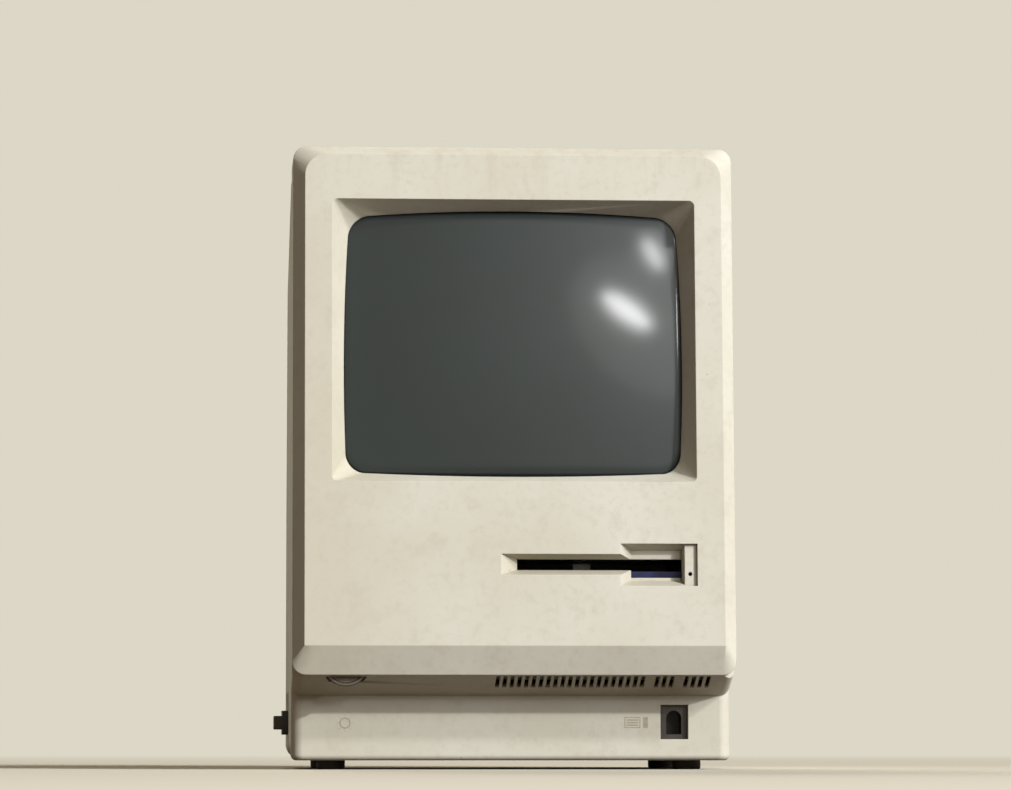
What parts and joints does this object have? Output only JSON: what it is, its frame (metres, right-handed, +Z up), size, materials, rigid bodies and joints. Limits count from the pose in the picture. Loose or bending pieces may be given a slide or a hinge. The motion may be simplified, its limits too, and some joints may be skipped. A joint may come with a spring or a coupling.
{
  "type": "vintage home computer",
  "caption": "Compact beige home computer with a built-in picture tube, a front disk slot, a sunk handle in its top and a moulded two-part case that steps back to a base under the chin.",
  "frame": {"origin": "middle of the bounding box, on the surface that the feet stand on", "axes": "+Z up, the front faces -Y, +X is to the right of someone who faces the screen"},
  "size_m": [0.2514, 0.2776, 0.345],
  "materials": {
    "case_plastic": "moulded, fine spark texture, aged beige",
    "screen_glass": "polished tinted glass over grey phosphor",
    "plated_steel": "zinc plated sheet",
    "cage_steel": "blue passivated sheet",
    "screw_steel": "blackened and plated machine screws",
    "motor_steel": "black and plated motor cans",
    "bright_brass": "nickel on brass",
    "copper_winding": "enamelled copper wire",
    "ferrite": "sintered ferrite and potting",
    "black_plastic": "moulded, satin",
    "grey_plastic": "moulded, satin",
    "circuit_board": "glass epoxy with solder mask",
    "chip_epoxy": "moulded epoxy",
    "aluminium_sheet": "mill finish",
    "capacitor_sleeve": "shrunk sleeve",
    "speaker_paper": "pressed paper cone in a steel basket",
    "foot_rubber": "moulded rubber"
  },
  "bodies": {
    "case": {"front_bezel": "case_plastic", "rear_housing": "case_plastic", "keyboard_jack": "case_plastic", "picture_tube": "screen_glass", "tube_band": "plated_steel", "chassis": "plated_steel", "drive_chassis": "plated_steel", "drive_bracket": "plated_steel", "port_shield": "plated_steel", "mouse_port": "plated_steel", "drive_port": "plated_steel", "printer_port": "plated_steel", "modem_port": "plated_steel", "tube_screws": "screw_steel", "chassis_screws": "screw_steel", "case_screws": "screw_steel", "port_posts": "screw_steel", "guide_rod": "screw_steel", "stepper_motor": "motor_steel", "eject_motor": "motor_steel", "inlet_pins": "bright_brass", "yoke_coils": "copper_winding", "yoke_core": "ferrite", "flyback_transformer": "ferrite", "power_transformer": "ferrite", "centring_rings": "black_plastic", "tube_socket": "black_plastic", "mains_inlet": "black_plastic", "power_switch": "black_plastic", "audio_jack": "black_plastic", "battery_holder": "black_plastic", "board_switches": "black_plastic", "brightness_control": "grey_plastic", "switch_frame": "grey_plastic", "analog_board": "circuit_board", "logic_board": "circuit_board", "neck_board": "circuit_board", "drive_board": "circuit_board", "processor": "chip_epoxy", "rom_chips": "chip_epoxy", "memory_chips": "chip_epoxy", "interface_chips": "chip_epoxy", "power_transistors": "chip_epoxy", "heat_sink": "aluminium_sheet", "capacitors": "capacitor_sleeve", "battery": "capacitor_sleeve", "loudspeaker": "speaker_paper", "rubber_feet": "foot_rubber"},
    "knob": {"brightness_knob": "case_plastic"},
    "rocker": {"power_rocker": "black_plastic"},
    "battery_cover": {"battery_door": "case_plastic"},
    "reset_push": {"reset_button": "grey_plastic"},
    "interrupt_push": {"interrupt_button": "grey_plastic"},
    "cage": {"disk_cage": "cage_steel"},
    "spindle": {"spindle_rotor": "motor_steel"},
    "stepper_shaft": {"lead_screw": "screw_steel"},
    "carriage": {"head_carriage": "aluminium_sheet"},
    "release": {"eject_lever": "grey_plastic"}
  },
  "joints": [
    {"name": "brightness_turn", "type": "hinge", "parent": "case", "child": "knob", "pos_m": [-0.08875, -0.12175, 0.0587], "axis": [0, 1, 0], "range_deg": [-135, 135]},
    {"name": "power_rock", "type": "hinge", "parent": "case", "child": "rocker", "pos_m": [-0.08035, 0.13175, 0.098], "axis": [1, 0, 0], "range_deg": [-20, 0]},
    {"name": "battery_cover_slide", "type": "slide", "parent": "case", "child": "battery_cover", "axis": [0, 1, 0], "range_m": [0, 0.03]},
    {"name": "reset_press", "type": "slide", "parent": "case", "child": "reset_push", "axis": [1, 0, 0], "range_m": [0, 0.002], "stiffness_N_per_m": 200},
    {"name": "interrupt_press", "type": "slide", "parent": "case", "child": "interrupt_push", "axis": [1, 0, 0], "range_m": [0, 0.002], "stiffness_N_per_m": 200},
    {"name": "cage_drop", "type": "slide", "parent": "case", "child": "cage", "axis": [0, 0, -1], "range_m": [0, 0.0035], "stiffness_N_per_m": 600, "springref_m": -0.004},
    {"name": "spindle_spin", "type": "hinge", "parent": "case", "child": "spindle", "pos_m": [0.05075, -0.06875, 0.0965], "axis": [0, 0, 1], "continuous": true},
    {"name": "screw_turn", "type": "hinge", "parent": "case", "child": "stepper_shaft", "pos_m": [0.07965, -0.04875, 0.0995], "axis": [0, 1, 0], "range_deg": [0, 1800]},
    {"name": "carriage_slide", "type": "slide", "parent": "case", "child": "carriage", "axis": [0, -1, 0], "range_m": [0, 0.015]},
    {"name": "release_push", "type": "slide", "parent": "case", "child": "release", "axis": [0, 1, 0], "range_m": [0, 0.006], "stiffness_N_per_m": 100}
  ],
  "couplings": [
    {"joint": "screw_turn", "follows": "carriage_slide", "rad_per_m": 2094.4}
  ]
}
